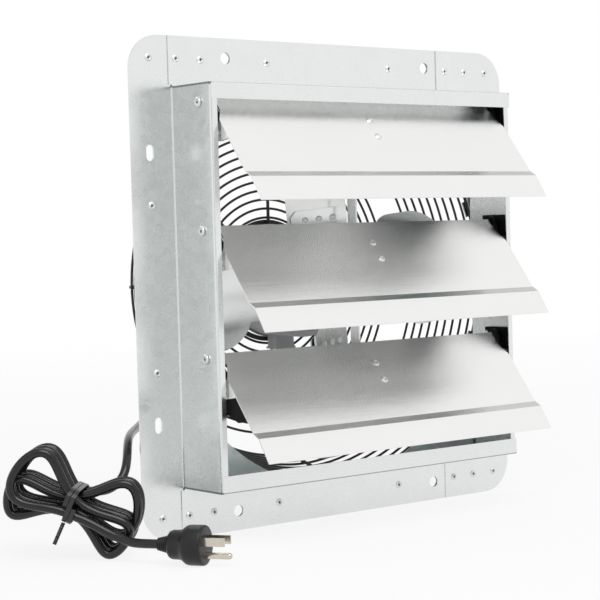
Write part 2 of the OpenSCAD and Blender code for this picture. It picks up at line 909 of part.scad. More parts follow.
module louver_3_link_bracket() {
    link_bracket(2);
}

module louver_rivets(k) {
    head_t = 1.1;
    arm_x = half_louver - louver_t - arm_t;
    color(steel) louver_frame(k) {
        bracket_rivet_places() {
            rod_y(-louver_face, -louver_back + foot_t, rivet_r);
            rod_y(-louver_face - head_t, -louver_face, rivet_head_r);
            rod_y(-louver_back + foot_t, -louver_back + foot_t + head_t, rivet_head_r - 0.8);
        }
        for (m = [0, 1]) mirror([m, 0, 0]) arm_rivet_places() {
            rod_x(arm_x, half_louver, rivet_r);
            rod_x(half_louver, half_louver + head_t, rivet_head_r - 0.4);
            rod_x(arm_x - head_t, arm_x, rivet_head_r - 0.8);
        }
    }
}

module louver_1_rivets() {
    louver_rivets(0);
}

module louver_2_rivets() {
    louver_rivets(1);
}

module louver_3_rivets() {
    louver_rivets(2);
}

module link_pin(k) {
    head_t = 1.2;
    bar_end = bar_x + bar_t + 0.3;
    color(steel) louver_frame(k) link_place() {
        rod_x(web_x - head_t, web_x, link_pin_r + 1.4);
        rod_x(web_x - 0.5, bar_end + 0.5, link_pin_r);
        rod_x(bar_end, bar_end + head_t, link_pin_r + 1.4);
    }
}

module louver_1_link_pin() {
    link_pin(0);
}

module louver_2_link_pin() {
    link_pin(1);
}

module louver_3_link_pin() {
    link_pin(2);
}

// Tie bar: one flat strip that joins the three louvers' link pins
module tie_bar() {
    color(galvanised) translate([0, pivot_y + link_y, pivot_z[1] + link_z]) difference() {
        sweep_x(bar_x, bar_x + bar_t) {
            square([bar_w, 2 * louver_pitch], center = true);
            for (s = [-1, 1]) translate([0, s * louver_pitch]) circle(bar_w / 2);
        }
        for (s = [-1, 0, 1]) translate([0, 0, s * louver_pitch])
            rod_x(bar_x - 1, bar_x + bar_t + 1, link_pin_r + run_gap);
    }
}

// Plastic bearings clipped into the box walls, drawn for the left
module wall_bearing() {
    difference() {
        union() {
            sweep_x(-wall_inner, -wall_inner + bearing_t) polygon([
                [-14, 8], [15, 8], [15, 4.4], [6, 4.4], [5, -2], [0, -8], [-5, -11], [-14, -11]
            ]);
            rod_x(-half_box - 1, -wall_inner, boss_r);
        }
        rod_x(-half_box - 0.4, -wall_inner + bearing_t + 1, pivot_pin_r + run_gap);
    }
}

module wall_bearings() {
    color(black_plastic) for (z = pivot_z) translate([0, pivot_y, z]) wall_bearing();
}

module left_bearings() {
    wall_bearings();
}

module right_bearings() {
    mirror([1, 0, 0]) wall_bearings();
}

// Strain relief where the cord leaves the motor
gland_neck_r = 6;
gland_collar_r = 9;
gland_collar_t = 2.5;
gland_len = 22;
gland_end = mount_plate_rear + gland_len;
module cord_gland() {
    color(black_plastic) gland_place() turn_y() polygon([
        [0, cap_rear - 4], [gland_neck_r, cap_rear - 4], [gland_neck_r, mount_plate_rear],
        [gland_collar_r, mount_plate_rear], [gland_collar_r, mount_plate_rear + gland_collar_t],
        [gland_collar_r - 2.5, mount_plate_rear + gland_collar_t + 1.5],
        [cord_r + 1.2, gland_end], [0, gland_end]
    ]);
}

// Tube along a list of points, closed at both ends, with frames carried from ring to ring
function unit(v) = v / norm(v);
function tangents(p) = [for (i = [0:len(p) - 1])
    unit(p[min(i + 1, len(p) - 1)] - p[max(i - 1, 0)])];
function carried(u, t) = unit(u - (u * t) * t);
function first_normal(t) = carried(abs(t[2]) < 0.8 ? [0, 0, 1] : [1, 0, 0], t);
function normals(t) = [for (i = 0, u = first_normal(t[0]); i < len(t);
    i = i + 1, u = i < len(t) ? carried(u, t[i]) : u) u];

module tube(path, r, sides) {
    t = tangents(path);
    u = normals(t);
    n = len(path);
    points = [for (i = [0:n - 1], j = [0:sides - 1]) let (a = 360 * (j + 0.5) / sides)
        path[i] + r * (cos(a) * u[i] + sin(a) * cross(t[i], u[i]))];
    walls = [for (i = [0:n - 2], j = [0:sides - 1]) let (
        a = i * sides + j,
        b = i * sides + (j + 1) % sides
    ) each [[a, b + sides, b], [a, a + sides, b + sides]]];
    caps = [for (j = [1:sides - 2]) each [
        [0, j, j + 1],
        [(n - 1) * sides, (n - 1) * sides + j + 1, (n - 1) * sides + j]
    ]];
    polyhedron(points, concat(walls, caps));
}

// A smooth curve that hand-chosen points pull along, straight where its first or last three lie in line
function spline_at(a, b, c, d, s) = (pow(1 - s, 3) * a + (3 * s * s * s - 6 * s * s + 4) * b
    + (3 * s + 3 * s * s - 3 * s * s * s + 1) * c + s * s * s * d) / 6;
function smooth(p, n) = concat(
    [p[0]],
    [for (i = [1:len(p) - 3], j = [0:n - 1]) spline_at(p[i - 1], p[i], p[i + 1], p[i + 2], j / n)],
    [p[len(p) - 2], p[len(p) - 1]]
);

// Hank: waisted loops side by side, each pair tilted the other way, along one formula
function hank_local(t) = let (
    a = 360 * t,
    p = hank_len / 2 * cos(a),
    q = sin(a) * (hank_waist + hank_lobe * cos(a) * cos(a)),
    b = hank_tilt * cos(180 * (t - hank_start)) - hank_lean
) [p * cos(b) - q * sin(b), hank_pitch * (t - hank_mid), p * sin(b) + q * cos(b)];
function hank_place(v) = hank_at + [
    v[0] * cos(hank_yaw) + v[1] * sin(hank_yaw),
    v[0] * sin(hank_yaw) - v[1] * cos(hank_yaw),
    v[2]
];
function hank_point(t) = hank_place(hank_local(t));
hank_in = unit(hank_point(hank_start + 0.002) - hank_point(hank_start));
hank_out = unit(hank_point(hank_end) - hank_point(hank_end - 0.002));
hank_first = hank_point(hank_start) - hank_in * cord_r;
hank_last = hank_point(hank_end) + hank_out * cord_r;
hank_route = concat(
    [hank_first],
    [for (i = [0:hank_rings * hank_half_turns / 2]) hank_point(hank_start + i / hank_rings)],
    [hank_last]
);

// Least distance between parts of the hank that lie more than a quarter turn apart
hank_gap = min([for (i = [0:len(hank_route) - 1], j = [i + 6:1:len(hank_route) - 1])
    norm(hank_route[i] - hank_route[j])]) - cord_d;
echo(hank_gap = hank_gap);

// Route of the cord from the gland to the hank, and from the hank to the plug
gland_face = [gland_at[0], gland_end, gland_at[1]];
gland_out = [0, 8, 0];
hank_run = 8 * hank_in;
lead_points = [
    gland_face, gland_face + gland_out, gland_face + 2 * gland_out, [-13, 139, -24], [-22, 151, -37],
    [-41, 155, -59], [-70, 147, -87], [-107, 121, -109], [-147, 82, -117], [-182, 42, -117],
    [-201, 15, -121], [-213, -3, -130], [-220, -10, -141], [-227, -9, -149],
    hank_first - 2 * hank_run, hank_first - hank_run, hank_first
];
plug_at = [-237, -80, floor_z + 15];
plug_yaw = 33;
tail_run = cord_d * hank_out;
plug_run = cord_d * [sin(plug_yaw), -cos(plug_yaw), 0];
tail_points = [
    hank_last, hank_last + tail_run, hank_last + 2 * tail_run, [-254, -48, -181], [-248, -60, -185],
    plug_at - 2 * plug_run, plug_at - plug_run, plug_at
];

module cord_lead() {
    color(black_plastic) tube(smooth(lead_points, 4), cord_r, 10);
}

module cord_hank() {
    color(black_plastic) tube(hank_route, cord_r, 6);
}

module cord_tail() {
    color(black_plastic) tube(smooth(tail_points, 4), cord_r, 10);
}

// Tie: a flat strap round the hank's waist
module cord_tie() {
    tie_w = 8;
    tie_t = 1.4;
    tie_slack = 1.4;
    tilt_room = 2;
    half_n = hank_pitch * (hank_end - hank_start) / 2 + cord_r + tie_slack;
    half_q = hank_waist + cord_r + tie_slack + tilt_room;
    color(black_plastic) translate(hank_at) rotate([0, hank_lean, hank_yaw])
        sweep_x(-tie_w / 2, tie_w / 2) difference() {
            strap(half_n + tie_t, half_q + tie_t);
            strap(half_n, half_q);
        }
}

module strap(half_a, half_b) {
    square([2 * half_a - 8, 2 * half_b], center = true);
    square([2 * half_a, 2 * half_b - 8], center = true);
    for (sa = [-1, 1], sb = [-1, 1]) translate([sa * (half_a - 4), sb * (half_b - 4)]) circle(4);
}

// Plug: a moulded body with a grip, two flat blades and a round ground pin
module plug_frame() {
    translate(plug_at) rotate([0, 0, plug_yaw]) children();
}

plug_len = 38;
module plug_body() {
    color(black_plastic) plug_frame() rotate([90, 0, 0]) rotate_extrude() polygon([
        [0, 0], [cord_r + 1.5, 0], [cord_r + 2.5, 6], [10, 10], [11, 18], [13.4, 22], [15, 26],
        [15, plug_len - 1], [14, plug_len], [0, plug_len]
    ]);
}

module plug_blades() {
    blade_half_space = 6.35;
    prong_t = 1.5;
    prong_w = 6.3;
    prong_len = 17;
    color(nickel) plug_frame() for (s = [-1, 1])
        translate([s * blade_half_space - prong_t / 2, -plug_len - prong_len, 0.5])
            cube([prong_t, prong_len, prong_w]);
}

module plug_ground_pin() {
    pin_r = 2.4;
    pin_len = 18;
    pin_drop = 7.5;
    color(nickel) plug_frame() translate([0, -plug_len, -pin_drop]) rotate([90, 0, 0]) {
        cylinder(h = pin_len, r = pin_r);
        translate([0, 0, pin_len]) sphere(pin_r);
    }
}

frame_left();
frame_right();
frame_top();
frame_bottom();
orifice_plate();
frame_rivets();
guard_clips();
guard_rim();
guard_side_rings();
guard_face_rings();
guard_spokes();
motor_mount_plate();
motor_mount_screws();
motor_shell();
motor_rear_cap();
motor_stator();
motor_windings();
terminal_box();
motor_bearings();
motor_shaft();
rotor_core();
wheel_hub();
wheel_spider();
hub_set_screw();
blade_1();
blade_2();
blade_3();
blade_4();
blade_rivets();
louver_1();
louver_2();
louver_3();
louver_1_arms();
louver_2_arms();
louver_3_arms();
louver_1_link_bracket();
louver_2_link_bracket();
louver_3_link_bracket();
louver_1_rivets();
louver_2_rivets();
louver_3_rivets();
louver_1_link_pin();
louver_2_link_pin();
louver_3_link_pin();
tie_bar();
left_bearings();
right_bearings();
cord_gland();
cord_lead();
cord_hank();
cord_tie();
cord_tail();
plug_body();
plug_blades();
plug_ground_pin();
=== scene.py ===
import math

import bmesh
import bpy
from mathutils import Matrix, Vector


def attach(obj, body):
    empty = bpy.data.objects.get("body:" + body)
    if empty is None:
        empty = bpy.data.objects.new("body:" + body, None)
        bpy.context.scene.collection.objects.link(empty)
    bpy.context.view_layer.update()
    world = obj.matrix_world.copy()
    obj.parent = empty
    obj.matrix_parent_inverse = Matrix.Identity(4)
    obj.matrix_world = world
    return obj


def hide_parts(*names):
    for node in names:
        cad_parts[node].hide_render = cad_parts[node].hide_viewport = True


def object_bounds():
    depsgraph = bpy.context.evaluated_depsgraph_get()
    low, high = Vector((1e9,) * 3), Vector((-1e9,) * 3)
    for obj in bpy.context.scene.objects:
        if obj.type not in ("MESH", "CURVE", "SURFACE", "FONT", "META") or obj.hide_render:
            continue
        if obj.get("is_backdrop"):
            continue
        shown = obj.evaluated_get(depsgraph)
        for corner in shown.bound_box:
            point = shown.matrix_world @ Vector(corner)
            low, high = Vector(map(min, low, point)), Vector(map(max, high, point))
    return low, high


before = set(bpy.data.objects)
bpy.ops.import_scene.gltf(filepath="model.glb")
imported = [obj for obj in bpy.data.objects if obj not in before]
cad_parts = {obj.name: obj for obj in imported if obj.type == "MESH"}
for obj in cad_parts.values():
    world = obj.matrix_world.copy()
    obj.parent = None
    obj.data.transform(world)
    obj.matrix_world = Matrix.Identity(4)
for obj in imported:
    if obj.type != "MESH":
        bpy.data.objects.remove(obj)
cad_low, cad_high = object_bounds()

# Camera: it stands to the left of the fan, a little above its middle, with a long lens.
# Lengths are millimetres of the real fan until MM turns them into metres.
MM = 0.001
camera_at = Vector((-957.4, -1187.7, 44.1)) * MM
camera_heading = math.radians(-39.78)
camera_dip = math.radians(3.08)
camera_roll = math.radians(-1.50)
image_w = 600
focal_px = 1788.7
axis_px = (362.5, 324.6)
sensor_w = 36

scene = bpy.context.scene
scene.view_settings.view_transform = "Standard"
camera_data = bpy.data.cameras.new("camera")
camera_data.sensor_width = sensor_w
camera_data.lens = focal_px / image_w * sensor_w
camera_data.shift_x = 0.5 - axis_px[0] / image_w
camera_data.shift_y = axis_px[1] / image_w - 0.5
camera = bpy.data.objects.new("camera", camera_data)
scene.collection.objects.link(camera)
camera.matrix_world = (
    Matrix.Translation(camera_at)
    @ Matrix.Rotation(camera_heading, 4, "Z")
    @ Matrix.Rotation(math.radians(90) - camera_dip, 4, "X")
    @ Matrix.Rotation(camera_roll, 4, "Z")
)
scene.camera = camera

# Power cord: three cores in one round black vinyl jacket, 7 mm thick, moulded to its plug.
# It leaves the motor to the rear, drops round the flange's lower left edge and ends in a tied hank.
cord_d = 7
cord_sides = 24
straight_run = 8
line_steps = 10
gland_face = Vector((-10, 110, -20))
gland_out = Vector((0, straight_run, 0))
floor_z = -200
hank_at = Vector((-264, -8, floor_z + 42))
hank_half_turns = 11
hank_len = 98
hank_lobe = 36
hank_pitch = 7.9
hank_yaw = math.radians(-40)
hank_lean = math.radians(24)
hank_waist = 5.5
hank_tilt = math.radians(22)
hank_start = 0.25
hank_end = hank_start + hank_half_turns / 2
hank_mid = (hank_start + hank_end) / 2
hank_steps = 84
plug_at = Vector((-237, -80, floor_z + 15))
plug_yaw = math.radians(33)
plug_len = 38


def hank_place(local):
    """A point of the hank's own frame in the fan's frame."""
    x, y, z = local
    across = Vector((
        x * math.cos(hank_yaw) + y * math.sin(hank_yaw),
        x * math.sin(hank_yaw) - y * math.cos(hank_yaw),
        z,
    ))
    return hank_at + across


def hank_point(t):
    """The cord's centre after t turns of the hank, whose loops are drawn in at the tie."""
    a = 2 * math.pi * t
    p = hank_len / 2 * math.cos(a)
    q = math.sin(a) * (hank_waist + hank_lobe * math.cos(a) ** 2)
    b = hank_tilt * math.cos(math.pi * (t - hank_start)) - hank_lean
    return hank_place((
        p * math.cos(b) - q * math.sin(b),
        hank_pitch * (t - hank_mid),
        p * math.sin(b) + q * math.cos(b),
    ))


def spline_at(a, b, c, d, s):
    """A point of the smooth curve that four points in a row pull along."""
    return (
        a * (1 - s) ** 3
        + b * (3 * s ** 3 - 6 * s ** 2 + 4)
        + c * (3 * s + 3 * s ** 2 - 3 * s ** 3 + 1)
        + d * s ** 3
    ) / 6


def smooth_line(points, steps):
    """A smooth line along listed points, straight at both ends."""
    line = [points[0]]
    for i in range(1, len(points) - 2):
        line += [spline_at(*points[i - 1:i + 3], j / steps) for j in range(steps)]
    return line + [points[-2], points[-1]]


def curve_through(name, lines, radius, sides):
    """A curve object with one round-section line through each list of points."""
    data = bpy.data.curves.new(name, "CURVE")
    data.dimensions = "3D"
    data.bevel_depth = radius * MM
    data.bevel_resolution = sides // 4
    data.use_fill_caps = True
    for line in lines:
        spline = data.splines.new("POLY")
        spline.points.add(len(line) - 1)
        for point, at in zip(spline.points, line):
            point.co = (*(Vector(at) * MM), 1)
        spline.use_smooth = True
    made = bpy.data.objects.new(name, data)
    scene.collection.objects.link(made)
    return made


nudge = 0.002
hank_in = (hank_point(hank_start + nudge) - hank_point(hank_start)).normalized()
hank_out = (hank_point(hank_end) - hank_point(hank_end - nudge)).normalized()
hank_first = hank_point(hank_start) - hank_in * cord_d / 2
hank_last = hank_point(hank_end) + hank_out * cord_d / 2
hank_run = straight_run * hank_in
tail_run = cord_d * hank_out
plug_run = cord_d * Vector((math.sin(plug_yaw), -math.cos(plug_yaw), 0))
lead_points = [
    gland_face, gland_face + gland_out, gland_face + 2 * gland_out,
    *map(Vector, [
        (-13, 139, -24), (-22, 151, -37), (-41, 155, -59), (-70, 147, -87), (-107, 121, -109),
        (-147, 82, -117), (-182, 42, -117), (-201, 15, -121), (-213, -3, -130),
        (-220, -10, -141), (-227, -9, -149),
    ]),
    hank_first - 2 * hank_run, hank_first - hank_run, hank_first,
]
tail_points = [
    hank_last, hank_last + tail_run, hank_last + 2 * tail_run,
    Vector((-254, -48, -181)), Vector((-248, -60, -185)),
    plug_at - 2 * plug_run, plug_at - plug_run, plug_at,
]
hank_turns = [
    hank_point(hank_start + i / hank_steps) for i in range(int(hank_steps * hank_half_turns / 2) + 1)
]
cord_line = smooth_line(lead_points, line_steps) + hank_turns + smooth_line(tail_points, line_steps)
cord = curve_through("power_cord", [cord_line], cord_d / 2, cord_sides)
cord_length = sum((b - a).length for a, b in zip(cord_line, cord_line[1:])) * MM


class Value:
    """One output of a node, which Python's operators lead through Math nodes."""

    def __init__(self, nodes, socket):
        self.nodes = nodes
        self.socket = socket

    def math(self, operation, *terms):
        return self.nodes.add("ShaderNodeMath", {"operation": operation}, dict(enumerate(terms)))

    def __add__(self, other):
        return self.math("ADD", self, other)

    def __sub__(self, other):
        return self.math("SUBTRACT", self, other)

    def __rsub__(self, other):
        return self.math("SUBTRACT", other, self)

    def __mul__(self, other):
        return self.math("MULTIPLY", self, other)

    __radd__ = __add__
    __rmul__ = __mul__


class Nodes:
    """A node tree that is filled one node at a time."""

    def __init__(self, tree):
        self.tree = tree

    def add(self, kind, settings=None, sockets=None, output=0):
        node = self.tree.nodes.new(kind)
        for name, value in (settings or {}).items():
            setattr(node, name, value)
        for name, value in (sockets or {}).items():
            self.feed(node.inputs[name], value)
        return Value(self, node.outputs[output])

    def feed(self, socket, value):
        if isinstance(value, Value):
            self.tree.links.new(value.socket, socket)
        else:
            socket.default_value = value

    def between(self, value, low, high, start=0.0, end=1.0):
        """The value's way from low to high, as a way from start to end."""
        limits = {"From Min": low, "From Max": high, "To Min": start, "To Max": end}
        return self.add("ShaderNodeMapRange", {"clamp": True}, {"Value": value, **limits})

    def mix(self, factor, first, second):
        """One colour fading into another."""
        first, second = (c if isinstance(c, Value) else (*c, 1) for c in (first, second))
        return self.add("ShaderNodeMix", {"data_type": "RGBA"}, {0: factor, 6: first, 7: second}, output=2)


class Finish(Nodes):
    """A surface finish on one principled shader, patterned on the object's own coordinates."""

    def __init__(self, name, **fixed):
        self.material = bpy.data.materials.new(name)
        self.material.use_nodes = True
        super().__init__(self.material.node_tree)
        self.shader = self.tree.nodes["Principled BSDF"]
        self.place = self.add("ShaderNodeTexCoord", output="Object")
        self.set(**fixed)

    def set(self, **sockets):
        for name, value in sockets.items():
            self.feed(self.shader.inputs[name.replace("_", " ").title().replace("Ior", "IOR")], value)

    def noise(self, size, stretch=(1, 1, 1), detail=3):
        """Soft noise with features of that size in millimetres, drawn out along an axis by stretch."""
        scale = [1 / (size * MM * s) for s in stretch]
        at = self.add("ShaderNodeMapping", None, {"Vector": self.place, "Scale": scale})
        return self.add("ShaderNodeTexNoise", None, {"Vector": at, "Scale": 1, "Detail": detail})

    def flakes(self, size):
        """A random tone for each crystal of that size in millimetres."""
        cells = self.add(
            "ShaderNodeTexVoronoi", None, {"Vector": self.place, "Scale": 1 / (size * MM)}, output="Color"
        )
        return self.add("ShaderNodeSeparateColor", None, {"Color": cells})

    def bump(self, height, depth, strength=1.0):
        """Raised and sunk by that depth in millimetres."""
        relief = {"Height": height, "Distance": depth * MM, "Strength": strength}
        self.set(Normal=self.add("ShaderNodeBump", None, relief))

    def tint(self, pattern, first, second):
        """Base colour from one tone to another, as the pattern goes."""
        self.set(Base_Color=self.mix(pattern, first, second))

    def roughen(self, pattern, low, high):
        """Roughness from low to high over the middle of the pattern's range."""
        self.set(Roughness=self.between(pattern, 0.3, 0.7, low, high))

    def give(self, *pieces):
        for piece in pieces:
            piece.data.materials.clear()
            piece.data.materials.append(self.material)


def dress(finish, *names):
    """Gives CAD nodes a finish, by their names."""
    finish.give(*[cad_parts[name] for name in names])


vinyl = Finish("cord_vinyl")
vinyl.tint(vinyl.noise(9), (0.003, 0.003, 0.0032), (0.008, 0.008, 0.0085))
vinyl.roughen(vinyl.noise(3), 0.14, 0.24)
vinyl.bump(vinyl.noise(7, detail=1), 0.12, 0.3)
vinyl.give(cord)
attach(cord, "frame")
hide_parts("cord_lead", "cord_hank", "cord_tail")

# Plug: a black moulding with a ribbed neck and a finger grip round the cord's three pins.
# Two flat blades and a round ground pin of nickel-plated brass stand out of its face.
plug_steps = 64
neck_rib_n = 5
neck_step = 1.8
neck_rib_out = 1.3
neck_flare = 0.45
neck_groove = 0.8


def object_from(name, mesh):
    """A new object in the scene with that mesh."""
    made = bpy.data.objects.new(name, mesh)
    scene.collection.objects.link(made)
    return made


def mesh_of(name, shape):
    """The mesh of a built shape, with every face turned outward."""
    bmesh.ops.recalc_face_normals(shape, faces=shape.faces)
    mesh = bpy.data.meshes.new(name)
    shape.to_mesh(mesh)
    shape.free()
    return mesh


def turned(name, profile, steps, round_edges=True):
    """A mesh turned about its Z axis from a profile of radius and height."""
    shape = bmesh.new()
    rings = []
    for radius, height in profile:
        n = 1 if radius == 0 else steps
        turn = [2 * math.pi * i / steps for i in range(n)]
        rings.append([
            shape.verts.new((radius * math.cos(a), radius * math.sin(a), height)) for a in turn
        ])
    for low, high in zip(rings, rings[1:]):
        for i in range(steps):
            j = (i + 1) % steps
            corners = [low[i % len(low)], low[j % len(low)], high[j % len(high)], high[i % len(high)]]
            face = shape.faces.new(list(dict.fromkeys(corners)))
            face.smooth = round_edges
    return mesh_of(name, shape)


def moved(mesh, matrix):
    """The mesh put in place, in millimetres, and then turned to metres."""
    mesh.transform(Matrix.Scale(MM, 4) @ matrix)
    return mesh


plug_turn = (
    Matrix.Translation(plug_at)
    @ Matrix.Rotation(plug_yaw, 4, "Z")
    @ Matrix.Rotation(math.radians(90), 4, "X")
)
neck_profile = [(0, 0), (cord_d / 2 + 0.6, 0)]
for rib in range(neck_rib_n):
    rib_low = rib * neck_step
    rib_r = cord_d / 2 + neck_rib_out + neck_flare * rib
    groove_r = rib_r - neck_groove
    neck_profile += [
        (rib_r, rib_low + 0.2), (rib_r, rib_low + 1.1),
        (groove_r, rib_low + 1.3), (groove_r, rib_low + neck_step),
    ]
grip_profile = [
    (8.6, 9.4), (10.2, 10.6), (10.9, 12.5), (11, 17.5), (11.5, 19.6), (12.6, 21.4), (13.6, 22.6), (14.5, 24),
    (14.9, 25.6), (15, 27), (15, plug_len - 1.6), (14.7, plug_len - 0.7), (14, plug_len - 0.2),
    (12.6, plug_len), (0, plug_len),
]
plug_mesh = turned("plug_moulding", neck_profile + grip_profile, plug_steps)
plug = object_from("plug_moulding", moved(plug_mesh, plug_turn))
rubber = Finish("plug_rubber", specular_ior_level=0.35)
rubber.tint(rubber.noise(6), (0.008, 0.008, 0.009), (0.02, 0.02, 0.022))
rubber.roughen(rubber.noise(2), 0.3, 0.44)
rubber.bump(rubber.noise(0.6), 0.03, 0.4)
rubber.give(plug)
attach(plug, "frame")
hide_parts("plug_body")

nickel = Finish("plug_nickel", metallic=1.0)
nickel.tint(nickel.noise(4), (0.56, 0.52, 0.44), (0.68, 0.64, 0.56))
nickel.roughen(nickel.noise(0.4, (8, 8, 1)), 0.12, 0.26)
dress(nickel, "plug_blades", "plug_ground_pin")

# Tie: a flat black twist tie of wire in plastic film, which holds the hank together.
# It is wound twice round the hank's waist, and its two ends are twisted together.
tie_w = 3.4
tie_t = 0.9
tie_slack_n = 1.6
tie_slack_q = 3.6
tie_half_n = hank_pitch * (hank_end - hank_start) / 2 + cord_d / 2 + tie_slack_n
tie_half_q = hank_waist + cord_d / 2 + tie_slack_q
tie_squareness = 0.42
tie_turns = 2
tie_turn_gap = 0.4
tie_steps = 40
tie_end_len = 17
tie_end_turns = 2.5
tie_end_steps = 24
tie_end_half_w = 1.3
tie_end_half_t = 0.45
tie_end_off = 0.75
tie_end_tuck = 0.6
tie_end_inset = 4
tie_end_lean = 3


def tie_frame(local):
    """A point of the tie, drawn across the hank's leaning middle, in the fan's frame."""
    x, y, z = local
    lean = -hank_lean
    return hank_place((
        x * math.cos(lean) - z * math.sin(lean),
        y,
        x * math.sin(lean) + z * math.cos(lean),
    ))


def strap_point(turn, out):
    """A point on the tie's rounded outline, out millimetres off its inner face."""
    a = 2 * math.pi * turn
    c, s = math.cos(a), math.sin(a)
    y = (tie_half_n + out) * math.copysign(abs(c) ** tie_squareness, c)
    z = (tie_half_q + out) * math.copysign(abs(s) ** tie_squareness, s)
    return y, z


def band(name, rows):
    """A closed band from rows of four corner points."""
    shape = bmesh.new()
    rings = [[shape.verts.new(Vector(p) * MM) for p in row] for row in rows]
    for low, high in zip(rings, rings[1:]):
        for i in range(4):
            j = (i + 1) % 4
            shape.faces.new((low[i], low[j], high[j], high[i]))
    shape.faces.new(rings[0][::-1])
    shape.faces.new(rings[-1])
    return mesh_of(name, shape)


strap_rows = []
for i in range(tie_turns * tie_steps + 1):
    turn = i / tie_steps
    x_mid = (turn - tie_turns / 2) * (tie_w + tie_turn_gap)
    x_low, x_high = x_mid - tie_w / 2, x_mid + tie_w / 2
    low, high = strap_point(turn, 0), strap_point(turn, tie_t)
    strap_rows.append([
        tie_frame((x, *yz)) for x, yz in ((x_low, low), (x_high, low), (x_high, high), (x_low, high))
    ])
end_rows = [[], []]
for i in range(tie_end_steps + 1):
    way = i / tie_end_steps
    twist = 2 * math.pi * tie_end_turns * way
    for k, rows in enumerate(end_rows):
        phase = twist + k * math.pi
        side = Vector((math.cos(phase), math.sin(phase)))
        across = Vector((-side[1], side[0]))
        corners = [
            side * (tie_end_off + sz * tie_end_half_t) + across * sx * tie_end_half_w
            for sx, sz in ((-1, -1), (1, -1), (1, 1), (-1, 1))
        ]
        at_n = tie_half_n - tie_end_inset + tie_end_lean * way
        drop = tie_end_tuck - tie_half_q - tie_t - tie_end_len * way
        rows.append([tie_frame((c[0], at_n - c[1], drop)) for c in corners])
tie_meshes = [band("tie", strap_rows), band("tie", end_rows[0]), band("tie", end_rows[1])]


def joined(name, meshes):
    """Several meshes as one object."""
    shape = bmesh.new()
    for mesh in meshes:
        shape.from_mesh(mesh)
    return object_from(name, mesh_of(name, shape))


def rounded(piece, width):
    """Takes the sharpness off a piece's edges."""
    bevel = piece.modifiers.new("bevel", "BEVEL")
    bevel.width = width * MM
    bevel.segments = 2
    bevel.limit_method = "ANGLE"
    return piece


tie = rounded(joined("twist_tie", tie_meshes), 0.2)
tie_film = Finish("tie_film")
tie_film.tint(tie_film.noise(5), (0.015, 0.015, 0.016), (0.035, 0.035, 0.036))
tie_film.roughen(tie_film.noise(2), 0.22, 0.4)
tie_film.bump(tie_film.noise(1.5), 0.08, 0.6)
tie_film.give(tie)
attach(tie, "frame")
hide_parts("cord_tie")

# Strain relief: a ribbed black cone of soft plastic round the cord, where it leaves the motor.
# It is moulded in one piece and snapped into a hole in the motor's rear cap.
gland_rear = gland_face[1]
gland_seat = 88
gland_inner = 82.5
gland_steps = 48
gland_neck_r = 5.9
gland_collar_r = 9
gland_cone_r = 6.6
gland_taper = 0.42
gland_groove = 0.9
gland_rib_n = 5
gland_profile = [
    (0, gland_inner), (gland_neck_r, gland_inner), (gland_neck_r, gland_seat),
    (gland_collar_r, gland_seat), (gland_collar_r, gland_seat + 2.2),
    (gland_collar_r - 0.4, gland_seat + 2.6), (gland_cone_r, gland_seat + 2.8),
]
rib_space = (gland_rear - gland_seat - 3) / gland_rib_n
for rib in range(gland_rib_n):
    rib_low = gland_seat + 2.9 + rib * rib_space
    rib_r = gland_cone_r - gland_taper * rib
    groove_r = rib_r - gland_groove
    gland_profile += [
        (rib_r, rib_low), (rib_r - 0.1, rib_low + rib_space * 0.55),
        (groove_r, rib_low + rib_space * 0.65), (groove_r, rib_low + rib_space * 0.95),
    ]
gland_profile += [(cord_d / 2 + 0.2, gland_rear), (0, gland_rear)]
gland_turn = Matrix.Translation((gland_face[0], 0, gland_face[2])) @ Matrix.Rotation(math.radians(-90), 4, "X")
gland_mesh = turned("strain_relief", gland_profile, gland_steps)
gland = object_from("strain_relief", moved(gland_mesh, gland_turn))
rubber.give(gland)
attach(gland, "frame")
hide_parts("cord_gland")

# Flange and shutter box: four folded pieces of galvanised steel sheet, riveted at the corners.
# The zinc has faint crystals and a slightly wavy face, and painted shade darkens the shadowed gaps at the box's
# lowest fold and cut ends.
half_box = 160
box_deep = 55.6
plate_t = 1
sheet_t = 0.8
zinc_pale = (0.845, 0.86, 0.855)
zinc_dull = (0.755, 0.785, 0.775)
zinc_shade = (0.16, 0.17, 0.17)
shade_strength = 0.75
zinc = Finish("galvanised_sheet", metallic=1.0)
zinc_flake = zinc.flakes(7)
zinc_cloud = zinc.noise(55)
zinc_sheet = zinc.mix(zinc_flake * 0.22 + zinc_cloud * 0.78, zinc_dull, zinc_pale)


def past(place, edge, fade):
    """1 where a place in metres lies past an edge in millimetres, fading in from it."""
    return zinc.between(place, edge * MM, (edge + fade) * MM)


zinc_at = zinc.add("ShaderNodeSeparateXYZ", None, {0: zinc.place}).socket.node
across, depth, height = (Value(zinc, zinc_at.outputs[axis]) for axis in "XYZ")
off_side = across.math("ABSOLUTE", across)
off_middle = height.math("ABSOLUTE", height)
# Painted shade: a dark band along the box's lowest fold and on the walls' cut ends stands in for the shadow in
# the gaps to the flange.
low_fold_shade = past(height * -1, half_box - 1.4, 0.4) * past(depth * -1, box_deep - 1.1, 0.5)
shaded_corner = past(off_side, half_box - 1.2, 0.3) * past(off_middle, half_box - 1.9, 0.7)
wall_end_shade = shaded_corner * past(depth * -1, plate_t + 2 * sheet_t + 0.4, 0.4)
zinc.tint((low_fold_shade + wall_end_shade) * shade_strength, zinc_sheet, zinc_shade)
zinc.set(Roughness=zinc.between(zinc_flake * 0.4 + zinc.noise(9) * 0.6, 0.2, 0.8, 0.20, 0.32))
zinc.bump(zinc.noise(90, detail=1) * 0.9 + zinc_flake * 0.008 + zinc.noise(4) * 0.01, 1.0, 0.3)
dress(zinc, "frame_left", "frame_right", "frame_top", "frame_bottom")

